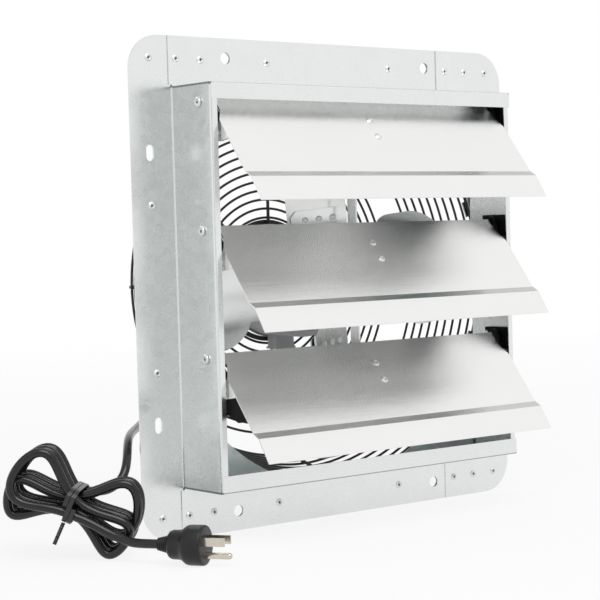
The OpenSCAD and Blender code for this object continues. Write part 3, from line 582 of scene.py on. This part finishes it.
# Plate with the round opening: one galvanised blank with cut corners, a shade greener than the frame.
# It lies behind the flange, and the flange's rivets hold both together.
plate_finish = Finish("orifice_sheet", metallic=1.0)
plate_flake = plate_finish.flakes(6)
plate_tone = plate_flake * 0.5 + plate_finish.noise(40) * 0.5
plate_finish.tint(plate_tone, (0.60, 0.67, 0.665), (0.72, 0.79, 0.785))
plate_finish.set(Roughness=plate_finish.between(plate_flake, 0, 1, 0.3, 0.48))
plate_finish.bump(plate_finish.noise(1.2) * 0.1 + plate_flake * 0.1, 0.3, 0.4)
dress(plate_finish, "orifice_plate")

# Blind rivets: domed steel heads with the broken mandrel in their middle, pulled from the front.
# They hold the frame's corners, the plate and the guard's clips, and show a smaller tail behind.
rivet_line = 182
corner_rivets = (181, 156, 132)
mid_rivet = 66
clip_t = 1.2
head_r = 3.2
tail_r = 2.4
head_h = 1.1
tail_h = 0.9
core_r = 1.15
core_h = 0.75
head_profile = [
    (0, -0.05), (1, -0.05), (1, 0.12), (0.96, 0.34), (0.86, 0.6), (0.74, 0.83), (0.62, 0.96), (0.54, 1.0),
    (0.48, 0.92), (0.46, 0.5), (0.42, 0.38), (0, 0.38),
]
core_profile = [(0, 0.1), (1, 0.1), (0.95, 0.7), (0.6, 0.95), (0, 1)]
rivet_steel = Finish("rivet_steel", metallic=1.0)
rivet_steel.tint(rivet_steel.noise(2), (0.70, 0.71, 0.71), (0.84, 0.85, 0.845))
rivet_steel.roughen(rivet_steel.noise(1), 0.34, 0.48)
rivet_steel.bump(rivet_steel.noise(0.8), 0.03, 0.4)
# Dark finish: on the rivets the mandrel ends are real, and their dark tone is partly painted shade of the
# recess; in the caps' dimples it is only painted shade.
mandrel_and_dimple_shade = Finish("mandrel_and_dimple_shade", metallic=0.8)
mandrel_and_dimple_shade.tint(mandrel_and_dimple_shade.noise(1), (0.09, 0.09, 0.092), (0.2, 0.2, 0.205))
mandrel_and_dimple_shade.roughen(mandrel_and_dimple_shade.noise(0.7), 0.4, 0.6)
mandrel_and_dimple_shade.bump(mandrel_and_dimple_shade.noise(0.5), 0.08, 0.6)
head_stamp = object_from("head_stamp", turned("head_stamp", head_profile, 20))
core_stamp = object_from("core_stamp", turned("core_stamp", core_profile, 10))


def stud_tree():
    """Nodes that set one head on every point, along the point's facing."""
    tree = bpy.data.node_groups.new("set_heads", "GeometryNodeTree")
    for name, kind in (
        ("Geometry", "Geometry"), ("Head", "Object"), ("Radius", "Float"), ("Height", "Float"),
        ("Finish", "Material"),
    ):
        tree.interface.new_socket(name, in_out="INPUT", socket_type="NodeSocket" + kind)
    tree.interface.new_socket("Geometry", in_out="OUTPUT", socket_type="NodeSocketGeometry")
    nodes = Nodes(tree)
    given = nodes.add("NodeGroupInput").socket.node
    wanted = {socket.name: Value(nodes, socket) for socket in given.outputs}
    head = nodes.add("GeometryNodeObjectInfo", None, {"Object": wanted["Head"]}, output="Geometry")
    facing = nodes.add("GeometryNodeInputNamedAttribute", {"data_type": "FLOAT_VECTOR"}, {"Name": "facing"})
    turn = nodes.add("FunctionNodeAlignRotationToVector", {"axis": "Z"}, {"Vector": facing})
    size = nodes.add(
        "ShaderNodeCombineXYZ", None, {"X": wanted["Radius"], "Y": wanted["Radius"], "Z": wanted["Height"]}
    )
    placed = nodes.add(
        "GeometryNodeInstanceOnPoints",
        None,
        {"Points": wanted["Geometry"], "Instance": head, "Rotation": turn, "Scale": size},
    )
    real = nodes.add("GeometryNodeRealizeInstances", None, {"Geometry": placed})
    done = nodes.add("GeometryNodeSetMaterial", None, {"Geometry": real, "Material": wanted["Finish"]})
    end = tree.nodes.new("NodeGroupOutput")
    nodes.feed(end.inputs[0], done)
    return tree


heads_tree = stud_tree()


def mesh_made_by(maker):
    """The mesh that an object's curve or modifiers make, which takes the object's place."""
    shown = maker.evaluated_get(bpy.context.evaluated_depsgraph_get())
    mesh = bpy.data.meshes.new_from_object(shown)
    bpy.data.objects.remove(maker)
    return mesh


def heads(places, radius, height, finish, stamp):
    """A plain mesh with one head at each (point, facing) pair, in the fan's frame."""
    points = bpy.data.meshes.new("points")
    points.from_pydata([at * MM for at, facing in places], [], [])
    attribute = points.attributes.new("facing", "FLOAT_VECTOR", "POINT")
    attribute.data.foreach_set("vector", [x for at, facing in places for x in facing])
    carrier = object_from("points", points)
    modifier = carrier.modifiers.new("heads", "NODES")
    modifier.node_group = heads_tree
    given = {"Head": stamp, "Radius": radius * MM, "Height": height * MM, "Finish": finish.material}
    for item in heads_tree.interface.items_tree:
        if item.in_out == "INPUT" and item.name in given:
            modifier[item.identifier] = given[item.name]
    return mesh_made_by(carrier)


def studs(name, body, finish, sets, replaced=(), stamp=head_stamp):
    """One piece of heads for a body, from sets of (places, radius, height)."""
    meshes = [heads(places, radius, height, finish, stamp) for places, radius, height in sets]
    piece = joined(name, meshes)
    finish.give(piece)
    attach(piece, body)
    if replaced:
        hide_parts(*replaced)


ahead = Vector((0, -1, 0))
quarters = [(sx, sz) for sx in (-1, 1) for sz in (-1, 1)]
rivet_xz = [(sx * x, sz * rivet_line) for sx, sz in quarters for x in (*corner_rivets, mid_rivet)]
rivet_xz += [(sx * rivet_line, sz * mid_rivet) for sx, sz in quarters]
flange_heads, flange_tails = [], []
for x, z in rivet_xz:
    layers = 1 if x < -half_box else 2
    clipped = mid_rivet in (abs(x), abs(z))
    flange_heads.append((Vector((x, -plate_t - layers * sheet_t, z)), ahead))
    flange_tails.append((Vector((x, clip_t if clipped else 0, z)), -ahead))
studs(
    "flange_rivets", "frame", rivet_steel,
    [(flange_heads, head_r, head_h), (flange_tails, tail_r, tail_h)],
    ["frame_rivets"],
)
# Painted shade, in part: the dark mandrel ends also stand in for the shade in the rivets' recesses.
studs(
    "flange_rivet_mandrels", "frame", mandrel_and_dimple_shade,
    [(flange_heads, core_r, core_h)], stamp=core_stamp,
)

# Zinc-plated steel: the guard's clips, the motor's plate and screws, the shaft, hub, bearings and link pins.
# They are pressed or turned, and the plating leaves them grey and a little cloudy.
plated = Finish("zinc_plated_steel", metallic=1.0)
plated.tint(plated.noise(8), (0.56, 0.57, 0.58), (0.70, 0.71, 0.70))
plated.roughen(plated.noise(1.5), 0.24, 0.42)
plated.bump(plated.noise(0.8), 0.04, 0.5)
dress(
    plated, "guard_clips", "motor_mount_plate", "motor_mount_screws", "motor_bearings", "motor_shaft",
    "wheel_hub", "hub_set_screw", "louver_1_link_pin", "louver_2_link_pin", "louver_3_link_pin",
)

# Guard: rings of round wire welded onto eight bent spokes, dipped in black paint.
# The spokes run from the motor's plate over the corner to the rim, and each crossing has its weld.
guard_r = 175
guard_depth = 89.5
guard_inner_r = 52
ring_pitch = 8
side_pitch = 8
ring_wire_r = 1.1
rim_wire_r = 3
spoke_n = 8
spoke_r = 1.45
solid_spoke_r = 1.5
solid_spoke_sides = 8
spoke_flat = solid_spoke_r * math.cos(math.pi / solid_spoke_sides)
spoke_bend_r = 9
spoke_tail = 14
weld_gap = 0.05
side_slope = 0.26
side_angle = math.atan(side_slope)
ring_seat = spoke_flat + ring_wire_r + weld_gap
bend_steps = 10
spoke_sides = 12


def side_radius(y):
    """How far the guard's side wires stand from its axis at a depth."""
    return guard_r - rim_wire_r - spoke_flat - weld_gap - side_slope * (y - rim_wire_r)


corner_r = side_radius(guard_depth)
side_ring_n = int((guard_depth - spoke_bend_r - 2 * rim_wire_r) / side_pitch)
face_ring_n = int((corner_r - spoke_bend_r - guard_inner_r) / ring_pitch + 0.5)
bend = math.pi / 2 - side_angle
reach = spoke_bend_r * math.tan(bend / 2)
spoke_path = [Vector((0, guard_depth, guard_inner_r - spoke_tail))]
for i in range(bend_steps + 1):
    a = bend * i / bend_steps
    spoke_path.append(Vector((
        0, guard_depth - spoke_bend_r * (1 - math.cos(a)), corner_r - reach + spoke_bend_r * math.sin(a)
    )))
spoke_path.append(Vector((0, rim_wire_r, side_radius(rim_wire_r))))
spoke_turns = [Matrix.Rotation(2 * math.pi * k / spoke_n, 3, "Y") for k in range(spoke_n)]
spoke_lines = [[turn @ p for p in spoke_path] for turn in spoke_turns]
spoke_mesh = mesh_made_by(curve_through("spokes", spoke_lines, spoke_r, spoke_sides))
spokes = object_from("guard_wire_spokes", spoke_mesh)
wire_paint = Finish("guard_black_paint")
wire_paint.tint(wire_paint.noise(5), (0.010, 0.010, 0.011), (0.024, 0.024, 0.026))
wire_paint.roughen(wire_paint.noise(2), 0.26, 0.44)
wire_paint.bump(wire_paint.noise(0.9), 0.05, 0.5)
wire_paint.give(spokes)
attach(spokes, "frame")
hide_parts("guard_spokes")
dress(wire_paint, "guard_rim", "guard_side_rings", "guard_face_rings")

bead_profile = [(0, -1)] + [
    (math.cos(a), math.sin(a)) for a in (math.radians(d) for d in range(-60, 61, 30))
] + [(0, 1)]
bead_stamp = object_from("bead_stamp", turned("bead_stamp", bead_profile, 10))
weld_r = 1.3
weld_h = 1.0
rearward = Vector((0, 1, 0))
outward = Vector((0, math.sin(side_angle), math.cos(side_angle)))
face_radii = [guard_inner_r + (k - 0.5) * ring_pitch for k in range(1, face_ring_n + 1)] + [guard_inner_r]
spoke_welds = [(Vector((0, guard_depth + spoke_flat, radius)), rearward) for radius in face_radii]
for k in range(1, side_ring_n + 1):
    y = 2 * rim_wire_r + (k - 0.5) * side_pitch
    seat = Vector((0, y, side_radius(y) + ring_seat / math.cos(side_angle)))
    spoke_welds.append((seat - outward * ring_wire_r, outward))
spoke_welds.append((Vector((0, rim_wire_r, side_radius(rim_wire_r) + spoke_flat)), Vector((0, 0, 1))))
weld_places = [(turn @ at, turn @ facing) for turn in spoke_turns for at, facing in spoke_welds]
studs("guard_welds", "frame", wire_paint, [(weld_places, weld_r, weld_h)], stamp=bead_stamp)

# Motor: a drawn steel shell and rear cap in pale grey satin paint, with a wiring box under it.
# Inside are a stack of stamped sheets, enamelled copper windings and a cast rotor.
motor_paint = Finish("motor_grey_paint")
motor_paint.tint(motor_paint.noise(20), (0.50, 0.51, 0.52), (0.58, 0.59, 0.60))
motor_paint.roughen(motor_paint.noise(3), 0.33, 0.48)
motor_paint.bump(motor_paint.noise(1.4), 0.06, 0.5)
dress(motor_paint, "motor_shell", "motor_rear_cap", "terminal_box")

stack = Finish("stamped_stack", metallic=0.8, roughness=0.5)
stack_sheets = stack.noise(0.5, (400, 1, 400), detail=0)
stack.tint(stack_sheets, (0.20, 0.20, 0.21), (0.38, 0.37, 0.36))
stack.bump(stack_sheets, 0.2, 0.6)
dress(stack, "motor_stator", "rotor_core")

copper = Finish("enamelled_copper", metallic=1.0, roughness=0.3)
copper_wire = copper.noise(0.7, (60, 1, 60), detail=1)
copper.tint(copper_wire, (0.42, 0.20, 0.08), (0.78, 0.44, 0.22))
copper.bump(copper_wire, 0.3, 0.8)
dress(copper, "motor_windings")

# Fan wheel: four aluminium blades riveted to a pressed spider, whose hub is clamped on the shaft.
# The sheet is bright, bare and slightly wavy.
wheel_y = 10
blade_pitch = math.radians(19)
blade_camber_r = 190
blade_t = 1.2
spider_t = 2
wheel_turn = math.radians(-6)
rivet_pitch = 12.6
rivet_reach = 53
rivet_gap = 0.3
blade_metal = Finish("blade_aluminium", metallic=1.0)
blade_cloud = blade_metal.noise(36, detail=2) * 0.3 + blade_metal.noise(30) * 0.7
blade_metal.tint(blade_cloud, (0.73, 0.745, 0.74), (0.83, 0.84, 0.83))
blade_metal.roughen(blade_cloud, 0.16, 0.3)
blade_metal.bump(blade_metal.noise(45, detail=1) + blade_metal.noise(1.5) * 0.02, 1.0, 0.4)
dress(blade_metal, "wheel_spider", "blade_1", "blade_2", "blade_3", "blade_4")

blade_heads, blade_tails = [], []
tail_lift = rivet_pitch ** 2 / (2 * blade_camber_r) + blade_t + rivet_gap
for k in range(4):
    arm = (
        Matrix.Rotation(math.radians(90 * k) + wheel_turn, 4, "Y")
        @ Matrix.Translation((0, wheel_y, 0))
        @ Matrix.Rotation(-blade_pitch, 4, "Z")
    )
    for side in (-1, 0, 1):
        blade_heads.append((arm @ Vector((side * rivet_pitch, 0, rivet_reach)), arm.to_3x3() @ ahead))
        at = Vector((side * rivet_pitch, spider_t + tail_lift, rivet_reach))
        blade_tails.append((arm @ at, arm.to_3x3() @ -ahead))
studs(
    "wheel_rivets", "fan_wheel", rivet_steel,
    [(blade_heads, head_r, head_h), (blade_tails, tail_r, head_h)],
    ["blade_rivets"],
)

# Louvers: bright aluminium sheet with a stepped lip, brushed along its length by the rolls.
# A plastic arm is riveted to a tab at each end, and a link bracket to the middle of the panel.
louver_pitch = 100
louver_rest = math.radians(38.5)
louver_face = 4
louver_t = 0.8
foot_t = 1.5
arm_t = 2.5
half_louver = 152.5
pivot_y = -38.4
top_pivot_z = 145
bracket_rivets = (19.5, 36.5)
arm_rivet = (27, -6)
arm_head_r = 2.8
arm_outer = half_louver - louver_t
arm_inner = arm_outer - arm_t
pivots = [Vector((0, pivot_y, top_pivot_z - k * louver_pitch)) for k in range(3)]
hinges = [Matrix.Translation(pivot) @ Matrix.Rotation(-louver_rest, 4, "X") for pivot in pivots]
louver_metal = Finish("louver_aluminium", metallic=1.0)
louver_brush = louver_metal.noise(0.15, (500, 1, 1), detail=2)
louver_cloud = louver_metal.noise(35, (2, 1, 1))
louver_tone = louver_brush * 0.3 + louver_cloud * 0.7
louver_metal.tint(louver_tone, (0.85, 0.85, 0.845), (0.90, 0.90, 0.89))
louver_metal.roughen(louver_tone, 0.18, 0.26)
louver_metal.bump(louver_brush * 0.22 + louver_metal.noise(60, (3, 1, 1), detail=1), 0.5, 0.4)
dress(louver_metal, "louver_1", "louver_2", "louver_3")
for k, (body, hinge) in enumerate(zip(("top_louver", "middle_louver", "bottom_louver"), hinges), 1):
    turn = hinge.to_3x3()
    front = [(hinge @ Vector((0, -louver_face, -u)), turn @ ahead) for u in bracket_rivets]
    back = [(hinge @ Vector((0, -louver_face + louver_t + foot_t, -u)), turn @ -ahead) for u in bracket_rivets]
    outer, inner = [], []
    for side in (-1, 1):
        u, v = arm_rivet
        outer.append((hinge @ Vector((side * half_louver, -v, -u)), Vector((side, 0, 0))))
        inner.append((hinge @ Vector((side * arm_inner, -v, -u)), Vector((-side, 0, 0))))
    studs(
        f"louver_{k}_rivet_heads", body, rivet_steel,
        [(front, head_r, head_h), (back, tail_r, head_h), (outer, arm_head_r, head_h), (inner, tail_r, head_h)],
        [f"louver_{k}_rivets"],
    )

# Linkage: a bracket on each louver and one flat bar that ties the three together.
# They are pressed from the frame's galvanised sheet, and a pin joins each bracket to the bar.
dress(zinc, "louver_1_link_bracket", "louver_2_link_bracket", "louver_3_link_bracket", "tie_bar")

# Louver arms and wall bearings: black acetal, moulded, with a fine matt grain.
# Each arm runs from its pivot pin past the rivet in the louver's tab, and the lowest louver's are longer.
arm_outline = [
    (-6.5, -2.5), (-4.5, -5.5), (0, -7), (5, -8.6), (17, -13), (28.6, -13), (32.5, -8.5), (38.4, 2.2),
    (36.5, 2.9), (10, 2.9), (5.5, 4.9), (2, 6.6), (-2, 6.6), (-5.2, 4.6), (-7, 1),
]
arm_edge_w = 1.6
arm_edge_h = 1.2
arm_edge_sunk = 0.1
arm_seat_gap = 0.03
pin_steps = 32
pin_r = 2
pin_chamfer = 0.4
collar_r = 4
collar_x = 154.9
pin_x = 160.2


def slab_between(name, outline, near, far):
    """A flat piece of that outline in (down, out) millimetres, between two heights on Z."""
    shape = bmesh.new()
    verts = [shape.verts.new((down, out, near)) for down, out in outline]
    face = shape.faces.new(verts)
    raised = bmesh.ops.extrude_face_region(shape, geom=[face])["geom"]
    far_verts = [v for v in raised if isinstance(v, bmesh.types.BMVert)]
    bmesh.ops.translate(shape, verts=far_verts, vec=(0, 0, far - near))
    return mesh_of(name, shape)


def shrunk(outline, by):
    """The outline drawn in towards its middle by about that many millimetres."""
    middle = sum((Vector(p) for p in outline), Vector((0, 0))) / len(outline)
    return [tuple(middle + (Vector(p) - middle) * (1 - by / (Vector(p) - middle).length)) for p in outline]


def edge_between(name, outline, width, near, far):
    """A closed raised edge round an outline, between two heights on Z."""
    inner = shrunk(outline, width)
    rows = [
        [(*outline[i], near), (*outline[i], far), (*inner[i], far), (*inner[i], near)]
        for i in range(len(outline))
    ]
    shape = bmesh.new()
    rings = [[shape.verts.new(p) for p in row] for row in rows]
    for low, high in zip(rings, rings[1:] + rings[:1]):
        for i in range(4):
            j = (i + 1) % 4
            shape.faces.new((low[i], low[j], high[j], high[i]))
    return mesh_of(name, shape)


acetal = Finish("black_acetal", specular_ior_level=0.12)
acetal.tint(acetal.noise(7), (0.003, 0.003, 0.0032), (0.008, 0.008, 0.0084))
acetal.roughen(acetal.noise(1.2), 0.42, 0.6)
acetal.bump(acetal.noise(0.4), 0.04, 0.6)
dress(acetal, "louver_3_arms", "left_bearings", "right_bearings")
pin_profile = [
    (0, arm_inner), (collar_r, arm_inner), (collar_r, collar_x), (pin_r, collar_x),
    (pin_r, pin_x - pin_chamfer), (pin_r - pin_chamfer, pin_x), (0, pin_x),
]
edge_low, edge_high = arm_inner - arm_edge_h, arm_inner + arm_edge_sunk
for k, (body, hinge) in enumerate(zip(("top_louver", "middle_louver"), hinges), 1):
    meshes = []
    for side in (-1, 1):
        # From an arm's own (down, out, along the pin) to the fan's (x, y, z).
        lay = hinge @ Matrix(((0, 0, side, 0), (0, -1, 0, 0), (-1, 0, 0, 0), (0, 0, 0, 1)))
        meshes += [
            moved(slab_between("web", arm_outline, arm_inner, arm_outer - arm_seat_gap), lay),
            moved(edge_between("edge", arm_outline, arm_edge_w, edge_low, edge_high), lay),
            moved(turned("pin", pin_profile, pin_steps, round_edges=False), lay),
        ]
    arms = rounded(joined(f"louver_{k}_arm_mouldings", meshes), 0.25)
    acetal.give(arms)
    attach(arms, body)
    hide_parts(f"louver_{k}_arms")

# Push-on caps: a pale steel cap on the end of each bearing's boss, outside the box wall.
# It is pressed from sheet with a dimple in its middle, darkened with painted shade, and keeps the bearing in
# its hole.
cap_r = 4.1
cap_h = 1.1
cap_core_h = 0.9
boss_end = 161
cap_profile = [
    (0, -0.6), (1, -0.6), (1, 0.45), (0.93, 0.75), (0.8, 0.95), (0.6, 1.0), (0.42, 0.95), (0.36, 0.5), (0, 0.5),
]
cap_stamp = object_from("cap_stamp", turned("cap_stamp", cap_profile, 24))
cap_facings = [Vector((side, 0, 0)) for side in (-1, 1)]
cap_places = [(pivot + facing * boss_end, facing) for facing in cap_facings for pivot in pivots]
# Painted shade: a dark disc sits in each cap's dimple, where the shade falls.
cap_dimple_shade_places = [(cap_places, core_r, cap_core_h)]
studs("pivot_caps", "frame", rivet_steel, [(cap_places, cap_r, cap_h)], stamp=cap_stamp)
studs("pivot_cap_centres", "frame", mandrel_and_dimple_shade, cap_dimple_shade_places, stamp=core_stamp)
for stamp in (head_stamp, core_stamp, bead_stamp, cap_stamp):
    bpy.data.objects.remove(stamp)

# Studio: a white room with a soft box over the front and a weaker one at the right. Metal mirrors it darker
# above the back, behind the camera and ahead. The pale floor takes the fan's shadow and fades out into white.
floor_half_w = 4.5
floor_core = 0.35
floor_fade = 2.6
floor_colour = (0.93, 0.93, 0.925)
white = (1, 1, 1, 1)
lift_seen = 0.85
lift_mirrored = 0.8
ambient = 0.5
back_dark = 0.42
front_dark = 0.35
to_camera = (-0.64, -0.77, 0.05)
floor_mesh = bpy.data.meshes.new("studio_floor")
floor_corners = [
    (x * floor_half_w, y * floor_half_w, floor_z * MM) for x, y in ((-1, -1), (1, -1), (1, 1), (-1, 1))
]
floor_mesh.from_pydata(floor_corners, [], [(0, 1, 2, 3)])
floor = object_from("studio_floor", floor_mesh)
floor_paint = Finish("studio_floor", base_color=(*floor_colour, 1), roughness=0.9)
away = floor_paint.add("ShaderNodeVectorMath", {"operation": "LENGTH"}, {0: floor_paint.place}, output="Value")
fade = floor_paint.between(away, floor_core, floor_fade)
clear = floor_paint.add("ShaderNodeBsdfTransparent")
floor_path = floor_paint.add("ShaderNodeLightPath").socket.node
floor_seen = Value(floor_paint, floor_path.outputs["Is Camera Ray"])
floor_mirrored = Value(floor_paint, floor_path.outputs["Is Glossy Ray"])
glow = floor_paint.add("ShaderNodeEmission", None, {"Color": white, "Strength": 1.0})
lit = floor_paint.add("ShaderNodeMixShader", None, {
    0: floor_seen * lift_seen + floor_mirrored * lift_mirrored,
    1: Value(floor_paint, floor_paint.shader.outputs[0]),
    2: glow,
})
faded = floor_paint.add("ShaderNodeMixShader", None, {0: fade, 1: lit, 2: clear})
floor_paint.feed(floor_paint.tree.nodes["Material Output"].inputs["Surface"], faded)
floor_paint.give(floor)
floor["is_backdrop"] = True

world = bpy.data.worlds.new("studio")
scene.world = world
world.use_nodes = True
sky = Nodes(world.node_tree)
path = sky.add("ShaderNodeLightPath").socket.node
seen, glossy, through = (
    Value(sky, path.outputs[f"Is {kind} Ray"]) for kind in ("Camera", "Glossy", "Transmission")
)
direction = sky.add("ShaderNodeTexCoord", output="Generated")
parts = sky.add("ShaderNodeSeparateXYZ", None, {0: direction}).socket.node
east, north, up = (Value(sky, parts.outputs[axis]) for axis in "XYZ")
dark_back = sky.between(north, 0.0, 0.35) * sky.between(up, 0.3, 0.55)
behind_camera = east * to_camera[0] + north * to_camera[1] + up * to_camera[2]
dark_front = sky.between(behind_camera, 0.9, 0.99)
dark_ahead = sky.between(north * -1, 0.8, 0.95) * sky.between(up, 0.1, 0.25)
mirrored = 1 - dark_back * back_dark - dark_front * front_dark - dark_ahead * front_dark
level = ambient + (glossy + through) * (mirrored - ambient) + seen * (1 - ambient)
background = world.node_tree.nodes["Background"]
sky.feed(background.inputs["Strength"], level)
sky.feed(background.inputs["Color"], white)


def soft_box(name, at, width, height, power, mirrored):
    """A rectangular lamp that looks at the fan's middle, and that metal shows where it is mirrored."""
    data = bpy.data.lights.new(name, "AREA")
    data.shape = "RECTANGLE"
    data.size = width
    data.size_y = height
    data.energy = power
    lamp = bpy.data.objects.new(name, data)
    lamp.visible_glossy = mirrored
    scene.collection.objects.link(lamp)
    lamp.location = at
    lamp.rotation_euler = (-lamp.location).to_track_quat("-Z", "Y").to_euler()


soft_box("soft_box_over", (-0.6, -1.5, 1.9), 1.7, 1.3, 28, mirrored=True)
soft_box("soft_box_right", (2.0, -1.2, 0.6), 1.2, 1.6, 8, mirrored=False)

seen_low, seen_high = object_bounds()
corners = {"cad": [list(cad_low), list(cad_high)], "visual": [list(seen_low), list(seen_high)]}
